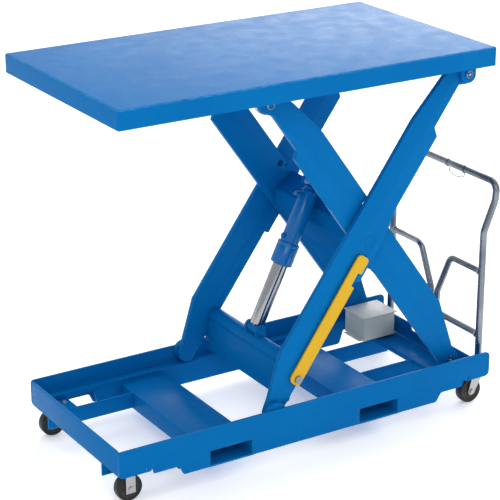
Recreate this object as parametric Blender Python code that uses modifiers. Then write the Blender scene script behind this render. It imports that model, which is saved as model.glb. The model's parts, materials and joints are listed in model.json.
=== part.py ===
"""Mobile hydraulic scissor lift table, modelled raised, in metres, +Z up.

The table is 1.22 m long. X runs along it towards the tow handle, Y runs across it,
and the origin is on the floor under the middle of its overall box. Two pairs of
flat legs cross at a centre pin. The inner legs are hinged to the base at the
handle end, the outer legs carry rollers that run on the base's tracks.
"""

import math

import bmesh
import bpy
from mathutils import Matrix, Vector

# ---- driving dimensions -------------------------------------------------------
DECK_LENGTH = 1.2192
DECK_WIDTH = 0.678
DECK_TOP = 1.160
DECK_SKIRT = 0.0547
DECK_SHEET = 0.005
DECK_CORNER = 0.008

HANDLE_REACH = 0.1158        # tow handle's tube centre past the deck's end
HANDLE_TUBE = 0.022
HANDLE_TOP = 0.700
HANDLE_BEND_LOW = 0.550
HANDLE_BEND_HIGH = 0.645
HANDLE_CROSSBAR = 0.213
HANDLE_LOOP = 0.420

GAP = 0.0003                 # between faces that meet
RUN = 0.0005                 # radial, between a pin and what turns on it
STEP = 0.0004                # keeps the faces of welded pieces out of one plane

SIDE_INSET = 0.0587          # deck's edge to the side plate's outer face
SIDE_SHEET = 0.006
SIDE_TOP = 0.1724
BASE_START = 0.0051          # deck's left end to the base's left end
BASE_PAST_DECK = 0.0783      # base's right end past the deck's
END_SHEET = 0.005
BASE_BOTTOM = 0.0514
LEDGE_TOP = 0.1215
LEDGE_SHEET = 0.005
TRACK_WEB = 0.005

LEG_SHEET = 0.016
LEG_GAP = 0.006
LOWERED_ANGLE = math.radians(3.4)
FOOT_FROM_END = 0.0412       # foot pivot to the deck's right end
LOWERED_ROLLER_X = 0.056     # roller's centre from the deck's left end, lowered
PIVOT_Z = 0.156
DECK_OVER_PIVOT = 0.0862     # deck's underside above the pins of its legs
EYE_RADIUS = 0.033

ROLLER_RADIUS = 0.033
ROLLER_WIDTH = 0.018
AXLE_RADIUS = 0.010
PIN_RADIUS = 0.0125
CENTRE_PIN_RADIUS = 0.0175
UPPER_TRACK_LENGTH = 0.550
UPPER_TRACK_WALL = 0.004

TUBE_WIDTH = 0.150
TUBE_HEIGHT = 0.055
TUBE_WALL = 0.005
TUBE_BOTTOM = 0.050
LEFT_TUBE_X = 0.365          # centre, from the deck's left end
RIGHT_TUBE_FROM_FOOT = 0.2975

WHEEL_RADIUS = 0.040
WHEEL_WIDTH = 0.028
WHEEL_FROM_EDGE = 0.100      # wheel's middle from the deck's near or far edge
LEFT_WHEEL_X = 0.0509
RIGHT_WHEEL_FROM_END = 0.0468
CASTER_TRAIL = 0.022
CASTER_SHEET = 0.003
CASTER_AXLE = 0.005
MOUNT_SHEET = 0.005

ROD_RADIUS = 0.0225
BARREL_RADIUS = 0.028
BORE_CLEARANCE = 0.0006
GLAND_RADIUS = 0.0335
GLAND_LENGTH = 0.070
CYLINDER_TOP_S = 0.110       # barrel's pin, up the inner leg from the centre pin
CYLINDER_TOP_N = -0.045
ROD_PIN_S = 0.1768           # rod's pin, up the outer leg from the roller
ROD_PIN_N = 0.0075
ROD_SHOWING_LOWERED = 0.0230
CYLINDER_PIN = 0.010
LUG_SHEET = 0.010
LUG_GAP = 0.001

TORQUE_TUBE_RADIUS = 0.025
TORQUE_TUBE_S = 0.143
TORQUE_TUBE_N = -0.018

BAR_LENGTH = 0.421
BAR_WIDTH = 0.042
BAR_SHEET = 0.006
BAR_ANGLE = math.radians(55.0)
BAR_PIVOT_S = 0.1155
BAR_PIVOT_N = -0.0117
BAR_BOLT_RADIUS = 0.006

BOX_LENGTH = 0.1195
BOX_WIDTH = 0.105
BOX_HEIGHT = 0.073
BOX_RISER = 0.0095
BOX_LID = 0.004
BOX_FLANGE = 0.003
BOX_MARGIN = 0.013
BOX_LIP = 0.004

ROUND = 24                   # sides of a round piece
SIDES = {"near": -1, "far": 1}

# ---- places that follow from them ---------------------------------------------
HANDLE_X = DECK_LENGTH + HANDLE_REACH
OVERALL_X = HANDLE_X + HANDLE_TUBE / 2
SHIFT_X = -OVERALL_X / 2     # plan coordinates start at the deck's left end

FOOT_X = DECK_LENGTH - FOOT_FROM_END
LEG = (FOOT_X - LOWERED_ROLLER_X) / math.cos(LOWERED_ANGLE)
RAISED_ANGLE = math.asin((DECK_TOP - DECK_SHEET - DECK_OVER_PIVOT - PIVOT_Z) / LEG)
ROLLER_X = FOOT_X - LEG * math.cos(RAISED_ANGLE)
HIGH_Z = PIVOT_Z + LEG * math.sin(RAISED_ANGLE)
CENTRE_X = (FOOT_X + ROLLER_X) / 2
CENTRE_Z = (PIVOT_Z + HIGH_Z) / 2
BASE_END = DECK_LENGTH + BASE_PAST_DECK
DECK_UNDER = DECK_TOP - DECK_SHEET

# lanes across the table, as distances from its middle plane
HALF_WIDTH = DECK_WIDTH / 2
SIDE_OUT = HALF_WIDTH - SIDE_INSET
SIDE_IN = SIDE_OUT - SIDE_SHEET
ROLLER_OUT = SIDE_IN - 0.0008
ROLLER_IN = ROLLER_OUT - ROLLER_WIDTH
OUTER_OUT = ROLLER_IN - 0.0015
OUTER_IN = OUTER_OUT - LEG_SHEET
INNER_OUT = OUTER_IN - LEG_GAP
INNER_IN = INNER_OUT - LEG_SHEET
WEB_IN = OUTER_IN + 0.003
WEB_OUT = WEB_IN + TRACK_WEB
TOP_ROLLER_OUT = INNER_IN - 0.0015
TOP_ROLLER_IN = TOP_ROLLER_OUT - ROLLER_WIDTH
WHEEL_Y = HALF_WIDTH - WHEEL_FROM_EDGE
POST_Y = WHEEL_Y - 0.009

TUBE_TOP = TUBE_BOTTOM + TUBE_HEIGHT
MOUNT_TOP = TUBE_TOP
CASTER_TOP = MOUNT_TOP - MOUNT_SHEET - GAP
RIGHT_TUBE_X = FOOT_X - RIGHT_TUBE_FROM_FOOT
RIGHT_WHEEL_X = BASE_END - RIGHT_WHEEL_FROM_END
KINGPIN_X = RIGHT_WHEEL_X + CASTER_TRAIL
REAR_X = BASE_END - 0.0625

INNER_ANGLE = math.pi - RAISED_ANGLE


def on_leg(origin, angle, s, n):
    """The (x, z) of a point s along and n beside a line that starts at origin."""
    along, beside = (math.cos(angle), math.sin(angle)), (-math.sin(angle), math.cos(angle))
    return (origin[0] + s * along[0] + n * beside[0], origin[1] + s * along[1] + n * beside[1])


CYLINDER_TOP = on_leg((FOOT_X, PIVOT_Z), INNER_ANGLE, LEG / 2 + CYLINDER_TOP_S, CYLINDER_TOP_N)
ROD_PIN = on_leg((ROLLER_X, PIVOT_Z), RAISED_ANGLE, ROD_PIN_S, ROD_PIN_N)
TORQUE_TUBE = on_leg((ROLLER_X, PIVOT_Z), RAISED_ANGLE, TORQUE_TUBE_S, TORQUE_TUBE_N)
BAR_PIVOT = on_leg((ROLLER_X, PIVOT_Z), RAISED_ANGLE, BAR_PIVOT_S, BAR_PIVOT_N)
CYLINDER_ANGLE = math.atan2(CYLINDER_TOP[1] - ROD_PIN[1], CYLINDER_TOP[0] - ROD_PIN[0])
PIN_SPAN = math.hypot(CYLINDER_TOP[0] - ROD_PIN[0], CYLINDER_TOP[1] - ROD_PIN[1])
LOW_TOP = on_leg((FOOT_X, PIVOT_Z), math.pi - LOWERED_ANGLE, LEG / 2 + CYLINDER_TOP_S, CYLINDER_TOP_N)
LOW_PIN = on_leg((LOWERED_ROLLER_X, PIVOT_Z), LOWERED_ANGLE, ROD_PIN_S, ROD_PIN_N)
LOWERED_SPAN = math.hypot(LOW_TOP[0] - LOW_PIN[0], LOW_TOP[1] - LOW_PIN[1])
LOWERED_CYLINDER = math.atan2(LOW_TOP[1] - LOW_PIN[1], LOW_TOP[0] - LOW_PIN[0])
STROKE = PIN_SPAN - LOWERED_SPAN
BARREL_LENGTH = LOWERED_SPAN - ROD_SHOWING_LOWERED
LUG_IN = ROD_RADIUS + LUG_GAP
LUG_OUT = LUG_IN + LUG_SHEET

# ---- colours: base colour, roughness, metallic ---------------------------------
BLUE = ((0.010, 0.150, 0.470, 1), 0.35, 0.0)
YELLOW = ((0.850, 0.480, 0.020, 1), 0.45, 0.0)
BRIGHT = ((0.650, 0.660, 0.680, 1), 0.25, 1.0)
ZINC = ((0.520, 0.520, 0.500, 1), 0.40, 1.0)
RUBBER = ((0.020, 0.020, 0.022, 1), 0.70, 0.0)
BOX_GREY = ((0.250, 0.290, 0.330, 1), 0.50, 0.0)
LID_GREY = ((0.580, 0.610, 0.620, 1), 0.45, 0.0)


# ---- helpers --------------------------------------------------------------------
def clear_scene():
    for obj in list(bpy.data.objects):
        bpy.data.objects.remove(obj)


def make_collection(name, hidden=False):
    made = bpy.data.collections.new(name)
    bpy.context.scene.collection.children.link(made)
    made.hide_render = hidden
    return made


def paint(obj, finish):
    """Gives the object a Principled material of its own."""
    colour, roughness, metallic = finish
    material = bpy.data.materials.new(obj.name)
    material.use_nodes = True
    shader = material.node_tree.nodes["Principled BSDF"]
    shader.inputs["Base Color"].default_value = colour
    shader.inputs["Roughness"].default_value = roughness
    shader.inputs["Metallic"].default_value = metallic
    obj.data.materials.append(material)


def arc(centre, radius, start, end, steps):
    """Points on an arc, with its angles in degrees."""
    points = []
    for i in range(steps + 1):
        angle = math.radians(start + (end - start) * i / steps)
        points.append((centre[0] + radius * math.cos(angle), centre[1] + radius * math.sin(angle)))
    return points


def circle(centre, radius):
    return arc(centre, radius, 0, 360 - 360 / ROUND, ROUND - 1)


def box_outline(x0, x1, y0, y1):
    return [(x0, y0), (x1, y0), (x1, y1), (x0, y1)]


def rounded(corners, steps=4):
    """An outline whose corners (x, y, radius) are rounded where the radius is above 0."""
    points = []
    for i, (x, y, radius) in enumerate(corners):
        here = Vector((x, y))
        before = (Vector(corners[i - 1][:2]) - here).normalized()
        after = (Vector(corners[(i + 1) % len(corners)][:2]) - here).normalized()
        half = before.angle(after) / 2 if radius else 0
        if radius == 0 or abs(half - math.pi / 2) < 0.01:
            points.append((x, y))
            continue
        middle = here + (before + after).normalized() * (radius / math.sin(half))
        start = here + before * (radius / math.tan(half)) - middle
        end = here + after * (radius / math.tan(half)) - middle
        turn = start.angle_signed(end)
        for k in range(steps + 1):
            spoke = Matrix.Rotation(-turn * k / steps, 2) @ start
            points.append(tuple(middle + spoke))
    return points


def add_object(name, data, collection):
    obj = bpy.data.objects.new(name, data)
    collection.objects.link(obj)
    return obj


def as_mesh(curve_object, collection):
    """Swaps a curve object for a mesh object of the same name and place, with welded caps."""
    bpy.context.view_layer.update()
    graph = bpy.context.evaluated_depsgraph_get()
    mesh = bpy.data.meshes.new_from_object(curve_object.evaluated_get(graph))
    work = bmesh.new()
    work.from_mesh(mesh)
    bmesh.ops.remove_doubles(work, verts=work.verts, dist=0.00001)
    bmesh.ops.recalc_face_normals(work, faces=work.faces)
    work.to_mesh(mesh)
    work.free()
    place = curve_object.matrix_world.copy()
    name = curve_object.name
    bpy.data.objects.remove(curve_object)
    obj = add_object(name, mesh, collection)
    obj.matrix_world = place
    return obj


TURN = {"Y": (math.pi / 2, 0, 0), "Z": (0, 0, 0), "X": (math.pi / 2, 0, math.pi / 2)}


def prism(name, outline, axis, low, high, holes=(), finish=BLUE, origin=(0, 0), angle=0.0, tool=False):
    """A flat outline made solid along an axis from low to high.

    Along Y the outline is (x, z), along Z it is (x, y), and along X it is (y, z).
    With an origin and an angle, an outline along Y is (along, beside) a leg's line.
    """
    curve = bpy.data.curves.new(name, "CURVE")
    curve.dimensions = "2D"
    curve.fill_mode = "BOTH"
    curve.extrude = (high - low) / 2
    for ring in (outline, *holes):
        spline = curve.splines.new("POLY")
        spline.points.add(len(ring) - 1)
        for point, (x, y) in zip(spline.points, ring):
            point.co = (x, y, 0, 1)
        spline.use_cyclic_u = True
    obj = add_object(name, curve, CUTTERS if tool else PARTS)
    middle = (low + high) / 2
    obj.rotation_euler = TURN[axis]
    if axis == "Y":
        obj.rotation_euler = (math.pi / 2, -angle, 0)
        obj.location = (origin[0] + SHIFT_X, middle, origin[1])
    elif axis == "Z":
        obj.location = (SHIFT_X, 0, middle)
    else:
        obj.location = (middle + SHIFT_X, 0, 0)
    obj = as_mesh(obj, CUTTERS if tool else PARTS)
    if tool:
        obj.display_type = "WIRE"
        obj.hide_render = True
    else:
        paint(obj, finish)
    return obj


def block(name, x, y, z, finish=BLUE, tool=False):
    """A box between the (low, high) pairs x, y and z."""
    return prism(name, box_outline(*x, *z), "Y", *y, finish=finish, tool=tool)


def turned(name, profile, place, axis="Y", finish=BRIGHT, tool=False, steps=ROUND):
    """A profile of (radius, height), top to bottom, turned about an axis through place."""
    mesh = bpy.data.meshes.new(name)
    mesh.from_pydata([(r, 0, h) for r, h in profile], [(i, i + 1) for i in range(len(profile) - 1)], [])
    obj = add_object(name, mesh, CUTTERS if tool else PARTS)
    screw = obj.modifiers.new("Turn", "SCREW")
    screw.steps = screw.render_steps = steps
    screw.use_merge_vertices = True
    screw.merge_threshold = 0.00002
    obj.rotation_euler = {"Y": (-math.pi / 2, 0, 0), "Z": (0, 0, 0)}.get(axis, (0, 0, 0))
    obj.location = (place[0] + SHIFT_X, place[1], place[2])
    if tool:
        obj.display_type = "WIRE"
        obj.hide_render = True
        return obj
    mesh.shade_smooth()
    mesh.set_sharp_from_angle(angle=math.radians(35))
    paint(obj, finish)
    return obj


def rod(name, x, z, y_low, y_high, radius, finish=ZINC, tool=False):
    """A plain round bar along Y."""
    profile = [(0, y_high), (radius, y_high), (radius, y_low), (0, y_low)]
    return turned(name, profile, (x, 0, z), "Y", finish, tool)


def combine(obj, other, operation, solver="EXACT"):
    change = obj.modifiers.new(f"{operation.title()} {other.name}", "BOOLEAN")
    change.operation = operation
    change.object = other
    change.solver = solver


def join(obj, *others, solver="EXACT"):
    for other in others:
        combine(obj, other, "UNION", solver)


def cut(obj, *others):
    for other in others:
        combine(obj, other, "DIFFERENCE")


def tube(name, path, radius, finish=BRIGHT, sides=3):
    """A round tube along a path of points, made solid, with filled caps."""
    curve = bpy.data.curves.new(name, "CURVE")
    curve.dimensions = "3D"
    curve.bevel_depth = radius
    curve.bevel_resolution = sides
    curve.use_fill_caps = True
    spline = curve.splines.new("POLY")
    spline.points.add(len(path) - 1)
    for point, (x, y, z) in zip(spline.points, path):
        point.co = (x + SHIFT_X, y, z, 1)
    obj = add_object(name, curve, PARTS)
    paint(obj, finish)
    return obj


def bent(points, radii, steps=5):
    """A path through points with its inner corners rounded by the radii given."""
    path = [Vector(points[0])]
    for before, here, after, radius in zip(points, points[1:], points[2:], radii):
        here = Vector(here)
        a, b = (Vector(before) - here).normalized(), (Vector(after) - here).normalized()
        half = a.angle(b) / 2
        middle = here + (a + b).normalized() * (radius / math.sin(half))
        start, end = (here + a * (radius / math.tan(half)) - middle, here + b * (radius / math.tan(half)) - middle)
        turn = start.angle(end)
        for k in range(steps + 1):
            share = k / steps
            spoke = (start * math.sin((1 - share) * turn) + end * math.sin(share * turn)) / math.sin(turn)
            path.append(middle + spoke)
    return path + [Vector(points[-1])]


def across(side, inner, outer):
    """Low and high Y of a lane on one side of the middle plane."""
    ends = (SIDES[side] * inner, SIDES[side] * outer)
    return min(ends), max(ends)


# ---- base -----------------------------------------------------------------------
def make_side_plate(side):
    """A plate whose lower edge steps up over the casters, notched over the fork tubes."""
    notches = []
    for centre in (LEFT_TUBE_X, RIGHT_TUBE_X):
        low, high = centre - TUBE_WIDTH / 2 - GAP, centre + TUBE_WIDTH / 2 + GAP
        top = TUBE_TOP + GAP
        notches += [(low, BASE_BOTTOM, 0), (low, top, 0), (high, top, 0), (high, BASE_BOTTOM, 0)]
    start, end = BASE_START, BASE_END
    corners = [
        (start, SIDE_TOP, 0.010), (start, 0.0905, 0.012), (0.104, 0.0905, 0),
        (0.1087, 0.100, 0), (0.1137, 0.0805, 0), (0.195, 0.0805, 0.012),
        (0.208, BASE_BOTTOM, 0.008), *notches,
        (FOOT_X - 0.083, BASE_BOTTOM, 0.008), (FOOT_X - 0.065, 0.079, 0.010),
        (FOOT_X + 0.0145, 0.079, 0), (FOOT_X + 0.022, 0.100, 0), (FOOT_X + 0.0305, 0.0927, 0),
        (end, 0.0927, 0.016), (end, SIDE_TOP, 0.015),
    ]
    holes = [circle((0.0915, 0.099), 0.003), circle((FOOT_X + 0.0409, 0.1019), 0.003)]
    prism(f"{side}_side_plate", rounded(corners), "Y", *across(side, SIDE_IN, SIDE_OUT), holes=holes)


def make_end_plates():
    inside = SIDE_IN - GAP
    front = [(-inside, 0.094, 0), (inside, 0.094, 0), (inside, SIDE_TOP, 0.012), (-inside, SIDE_TOP, 0.012)]
    prism("front_plate", rounded(front), "X", BASE_START, BASE_START + END_SHEET)
    top = 0.1625
    rear = [
        (-inside, 0.094, 0), (inside, 0.094, 0), (inside, top, 0.006), (0.046, top, 0.004),
        (0.040, top - 0.022, 0.006), (0.007, top - 0.022, 0.006), (0.001, top, 0.004), (-inside, top, 0.006),
    ]
    prism("rear_plate", rounded(rear), "X", REAR_X, REAR_X + END_SHEET)


def make_track(side):
    """The roller ledge, with a web under it that is notched over the fork tubes."""
    start, end = BASE_START + END_SHEET + GAP + STEP, REAR_X - GAP - STEP
    high = MOUNT_TOP + 0.001
    notches = []
    for centre in (LEFT_TUBE_X, RIGHT_TUBE_X):
        low, far = centre - TUBE_WIDTH / 2 - GAP, centre + TUBE_WIDTH / 2 + GAP
        top = TUBE_TOP + GAP
        notches += [(low, BASE_BOTTOM, 0), (low, top, 0), (far, top, 0), (far, BASE_BOTTOM, 0)]
    corners = [
        (start, LEDGE_TOP - 0.002, 0), (start, high, 0), (0.195, high, 0.015), (0.208, BASE_BOTTOM, 0.010),
        *notches, (FOOT_X - 0.083, BASE_BOTTOM, 0.010), (FOOT_X - 0.065, high, 0.015),
        (end, high, 0), (end, LEDGE_TOP - 0.002, 0),
    ]
    web = prism(f"{side}_track", rounded(corners), "Y", *across(side, WEB_IN, WEB_OUT))
    lane = across(side, WEB_IN - STEP, SIDE_IN - GAP)
    ledge = block(f"{side}_track_ledge", (start - STEP, end + STEP), lane, (LEDGE_TOP - LEDGE_SHEET, LEDGE_TOP), tool=True)
    join(web, ledge, solver="MANIFOLD")


def make_fork_tube(name, centre):
    x0, x1 = centre - TUBE_WIDTH / 2, centre + TUBE_WIDTH / 2
    inner = [(x0 + TUBE_WALL, TUBE_BOTTOM + TUBE_WALL, 0.003), (x1 - TUBE_WALL, TUBE_BOTTOM + TUBE_WALL, 0.003),
             (x1 - TUBE_WALL, TUBE_TOP - TUBE_WALL, 0.003), (x0 + TUBE_WALL, TUBE_TOP - TUBE_WALL, 0.003)]
    prism(name, box_outline(x0, x1, TUBE_BOTTOM, TUBE_TOP), "Y", -SIDE_OUT, SIDE_OUT, holes=[rounded(inner)])


def make_caster_pocket(side):
    """A web beside each rigid caster, and the plate that the caster is bolted to."""
    inner, outer = WHEEL_Y - 0.071, WHEEL_Y - 0.066
    start = BASE_START + END_SHEET + GAP
    end = LEFT_TUBE_X - TUBE_WIDTH / 2 - GAP
    bottom = BASE_BOTTOM + 0.0037
    web = [(BASE_START + 0.0009, bottom), (end, bottom), (end, MOUNT_TOP), (start, MOUNT_TOP),
           (start, 0.0937), (BASE_START + 0.0009, 0.0937)]
    obj = prism(f"{side}_caster_pocket", web, "Y", *across(side, inner, outer))
    lane = across(side, inner + 0.001, SIDE_IN - GAP)
    plate = block(f"{side}_pocket_plate", (start + STEP, 0.104), lane,
                  (MOUNT_TOP - MOUNT_SHEET, MOUNT_TOP - STEP), tool=True)
    join(obj, plate)


def make_rear_caster_plate(side):
    """The plate over a swivel caster, with the caster's own fixed top plate under it."""
    lane = across(side, WHEEL_Y - 0.049, SIDE_IN - GAP)
    span = (REAR_X + END_SHEET + GAP, BASE_END)
    obj = block(f"{side}_rear_caster_plate", span, lane, (MOUNT_TOP - MOUNT_SHEET, MOUNT_TOP))
    top_plate = block(f"{side}_swivel_top", (KINGPIN_X - 0.0245, KINGPIN_X + 0.0245),
                      across(side, WHEEL_Y - 0.030, WHEEL_Y + 0.030), (CASTER_TOP - 0.006, MOUNT_TOP - 0.004),
                      tool=True)
    join(obj, top_plate)


def make_pivot_channel():
    """The cross member behind the right fork tube, with two bars that tie it to the tube."""
    front, back = FOOT_X - 0.028, FOOT_X + 0.052
    bottom, top = BASE_BOTTOM, MOUNT_TOP
    inside = SIDE_IN - GAP
    plate = block("pivot_channel", (front, back), (-inside, inside), (top - 0.005, top))
    face = block("channel_face", (front - STEP, front + 0.005), (STEP - inside, inside - STEP), (top - 0.015, top - 0.002),
                 tool=True)
    join(plate, face)
    start = RIGHT_TUBE_X + TUBE_WIDTH / 2 + GAP
    for side, middle in (("near", -0.0780), ("far", 0.1110)):
        lane = (middle - 0.0025, middle + 0.0025)
        bar = block(f"{side}_cradle_bar", (start, front + 0.046), lane, (bottom + STEP, top - STEP), tool=True)
        join(plate, bar)


def make_foot(side):
    """The bracket and the pin that a pair of inner legs turns on."""
    inner, outer = INNER_IN - 0.007, INNER_IN - 0.001
    bottom = MOUNT_TOP + GAP
    outline = [(FOOT_X - 0.030, bottom), (FOOT_X + 0.030, bottom),
               *arc((FOOT_X, PIVOT_Z), 0.026, 0, 180, 16)]
    hole = circle((FOOT_X, PIVOT_Z), PIN_RADIUS + GAP)
    prism(f"{side}_foot_bracket", outline, "Y", *across(side, inner, outer), holes=[hole])
    sign = SIDES[side]
    head, tip = inner - 0.003, OUTER_IN - 0.0024
    ring = INNER_OUT + RUN
    steps = [(0, tip), (0.017, tip), (0.017, ring), (PIN_RADIUS, ring), (PIN_RADIUS, inner - GAP),
             (0.017, inner - GAP), (0.017, head), (0, head)]
    profile = steps if sign > 0 else [(r, -h) for r, h in reversed(steps)]
    turned(f"{side}_foot_pin", profile, (FOOT_X, 0, PIVOT_Z), finish=ZINC)


def make_control_box():
    base = MOUNT_TOP + GAP + BOX_RISER
    x0 = FOOT_X - 0.0905
    x1 = x0 + BOX_LENGTH
    y1 = INNER_IN - 0.0175
    y0 = y1 - BOX_WIDTH
    flange_top = base + BOX_FLANGE
    body_top = flange_top + BOX_HEIGHT
    body = block("control_box", (x0, x1), (y0, y1), (base + STEP, body_top), finish=BOX_GREY)
    plate_front = FOOT_X - 0.028
    flange = block("box_flange", (x0 - BOX_MARGIN, x1 + BOX_MARGIN), (y0 + 0.008, y1 - 0.012), (base, flange_top), tool=True)
    riser = block("box_riser", (plate_front + 0.003, x1 - 0.003), (y0 + 0.032, y1 - 0.017),
                  (MOUNT_TOP + GAP, base + 0.001), tool=True)
    join(body, flange, riser)
    lid = block("control_box_lid", (x0 - BOX_LIP, x1 + 2 * BOX_LIP), (y0 - BOX_LIP, y1 + BOX_LIP),
                (body_top + GAP, body_top + GAP + BOX_LID), finish=LID_GREY)
    bevel = lid.modifiers.new("Edges", "BEVEL")
    bevel.width = 0.0015
    bevel.segments = 2


def make_tow_handle():
    radius = HANDLE_TUBE / 2
    post_x = DECK_LENGTH + 0.0728
    foot = MOUNT_TOP + GAP
    turn = 0.030
    points = []
    for sign in (-1, 1):
        post = [(post_x, sign * POST_Y, foot), (post_x, sign * POST_Y, HANDLE_BEND_LOW),
                (HANDLE_X - 0.004, sign * POST_Y, HANDLE_BEND_HIGH), (HANDLE_X, sign * POST_Y, HANDLE_TOP)]
        points += post if sign < 0 else post[::-1]
    path = bent(points, [0.060, 0.060, turn, turn, 0.060, 0.060])
    tube("tow_handle_frame", path, radius)
    reach = POST_Y - radius - GAP
    bar_z = HANDLE_CROSSBAR
    tube("tow_handle_crossbar", [(post_x, -reach, bar_z), (post_x, reach, bar_z)], radius)
    for side, sign in SIDES.items():
        corner = POST_Y - 0.153
        knee = 0.010
        loop = [(post_x, sign * reach, HANDLE_LOOP), (post_x, sign * corner, HANDLE_LOOP),
                (post_x, sign * knee * 1.6, 0.285), (post_x, sign * (radius + 0.001), bar_z + radius + GAP)]
        tube(f"{side}_handle_loop", bent(loop, [0.035, 0.040]), radius - 0.001)


# ---- casters ----------------------------------------------------------------------
def wheel(name, x, side):
    """A rubber tyre on a narrower hub, bored for its axle."""
    middle = SIDES[side] * WHEEL_Y
    half, hub = WHEEL_WIDTH / 2, WHEEL_WIDTH / 2 + 0.001
    bore = CASTER_AXLE + RUN
    profile = [(bore, hub), (0.012, hub), (0.012, half - 0.003), (0.028, half - 0.003), (0.028, half),
               (0.0375, half), (WHEEL_RADIUS, half - 0.004), (WHEEL_RADIUS, 0.004 - half), (0.0375, -half),
               (0.028, -half), (0.028, 0.003 - half), (0.012, 0.003 - half), (0.012, -hub), (bore, -hub),
               (bore, hub)]
    turned(name, profile, (x, middle, WHEEL_RADIUS), finish=RUBBER)


def caster_axle(name, x, side):
    middle = SIDES[side] * WHEEL_Y
    cheek = WHEEL_WIDTH / 2 + 0.002 + CASTER_SHEET
    head = cheek + 0.005
    profile = [(0, head), (0.008, head), (0.008, cheek - 0.001), (CASTER_AXLE, cheek - 0.001),
               (CASTER_AXLE, 0.001 - cheek), (0.008, 0.001 - cheek), (0.008, -head), (0, -head)]
    return turned(name, profile, (x, middle, WHEEL_RADIUS), tool=True, steps=16)


def make_rigid_fork(side):
    """A strap bent over the wheel, its top plate and its axle, in one weldment."""
    middle = SIDES[side] * WHEEL_Y
    inner = WHEEL_WIDTH / 2 + 0.002
    outer = inner + CASTER_SHEET
    low, top = WHEEL_RADIUS - 0.014, CASTER_TOP
    roof = 2 * WHEEL_RADIUS + 0.004
    strap = [(middle - outer, low), (middle - inner, low), (middle - inner, roof), (middle + inner, roof),
             (middle + inner, low), (middle + outer, low), (middle + outer, top - 0.002), (middle - outer, top - 0.002)]
    obj = prism(f"{side}_rigid_fork", strap, "X", LEFT_WHEEL_X - 0.015, LEFT_WHEEL_X + 0.015, finish=ZINC)
    plate = block(f"{side}_rigid_top", (LEFT_WHEEL_X - 0.040, LEFT_WHEEL_X + 0.040),
                  (middle - 0.029, middle + 0.029), (top - 0.006, top), tool=True)
    join(obj, plate, caster_axle(f"{side}_rigid_axle", LEFT_WHEEL_X, side))


def make_swivel_fork(side):
    """Two slanted cheeks under a round crown, with the axle behind the kingpin."""
    middle = SIDES[side] * WHEEL_Y
    inner = WHEEL_WIDTH / 2 + 0.002
    outer = inner + CASTER_SHEET
    roof, top = 2 * WHEEL_RADIUS + 0.003, CASTER_TOP - 0.006 - GAP
    eye = [(RIGHT_WHEEL_X, WHEEL_RADIUS)]
    cheek = [(KINGPIN_X - 0.020, top - 0.002), *arc(eye[0], 0.012, 165, 330, 10), (KINGPIN_X + 0.020, top - 0.002)]
    obj = prism(f"{side}_swivel_fork", cheek, "Y", middle - outer, middle - inner, finish=ZINC)
    other = prism(f"{side}_swivel_cheek", cheek, "Y", middle + inner, middle + outer, tool=True)
    crown_profile = [(0, top), (0.024, top), (0.026, top - 0.003), (0.026, roof), (0, roof)]
    crown = turned(f"{side}_swivel_crown", crown_profile, (KINGPIN_X, middle, 0), "Z", tool=True, steps=24)
    join(obj, other, crown, caster_axle(f"{side}_swivel_axle", RIGHT_WHEEL_X, side))


# ---- scissor legs -------------------------------------------------------------------
def outer_outline():
    """One outer leg, along its line from the roller (0) to the deck's pin (LEG)."""
    top, mid = LEG, LEG / 2
    lower = [(0.444, -0.027), (0.447, -0.042), (0.600, -0.042), (0.680, -0.0235)]
    lower = [(s - 0.562 + mid, n) for s, n in lower]
    neck = [(top - 0.199, -0.024), (top - 0.181, 0.001), (top - 0.040, 0.001)]
    upper = [(top - 0.048, 0.0635), (top - 0.199, 0.082), (0.155, 0.081), (0.020, 0.0345)]
    tip = arc((top, 0), EYE_RADIUS, 205, 440, 20)
    heel = arc((0, 0), 0.030, 115, 250, 12)
    return heel + [(0.020, -0.027)] + lower + neck + tip + [(top, 0.050)] + upper


def inner_outline():
    """One inner leg, along its line from the foot (0) to the top roller (LEG)."""
    top, mid = LEG, LEG / 2
    lower = [(top - 0.034, 0.0125), (top - 0.173, 0.0125), (top - 0.189, 0.0325), (mid - 0.112, 0.0345),
             (mid - 0.120, 0.0325)]
    upper = [(0.025, -0.030), (0.190, -0.080), (top - 0.184, -0.080), (top - 0.046, -0.057)]
    heel = arc((0, 0), EYE_RADIUS, 90, 270, 18)
    tip = arc((top, 0), 0.034, -80, 90, 16)
    return lower + heel + upper + tip


def make_outer_leg(side):
    holes = [circle((LEG / 2, 0), CENTRE_PIN_RADIUS + GAP), circle((LEG, 0), PIN_RADIUS + RUN)]
    if side == "near":
        holes.append(circle((BAR_PIVOT_S, BAR_PIVOT_N), BAR_BOLT_RADIUS + GAP))
    lane = across(side, OUTER_IN, OUTER_OUT)
    leg = prism(f"{side}_outer_leg", outer_outline(), "Y", *lane, holes=holes,
                origin=(ROLLER_X, PIVOT_Z), angle=RAISED_ANGLE)
    axle = rod(f"{side}_lower_axle", ROLLER_X, PIVOT_Z, *across(side, OUTER_OUT - 0.004, ROLLER_OUT), AXLE_RADIUS,
               tool=True)
    join(leg, axle)


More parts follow.
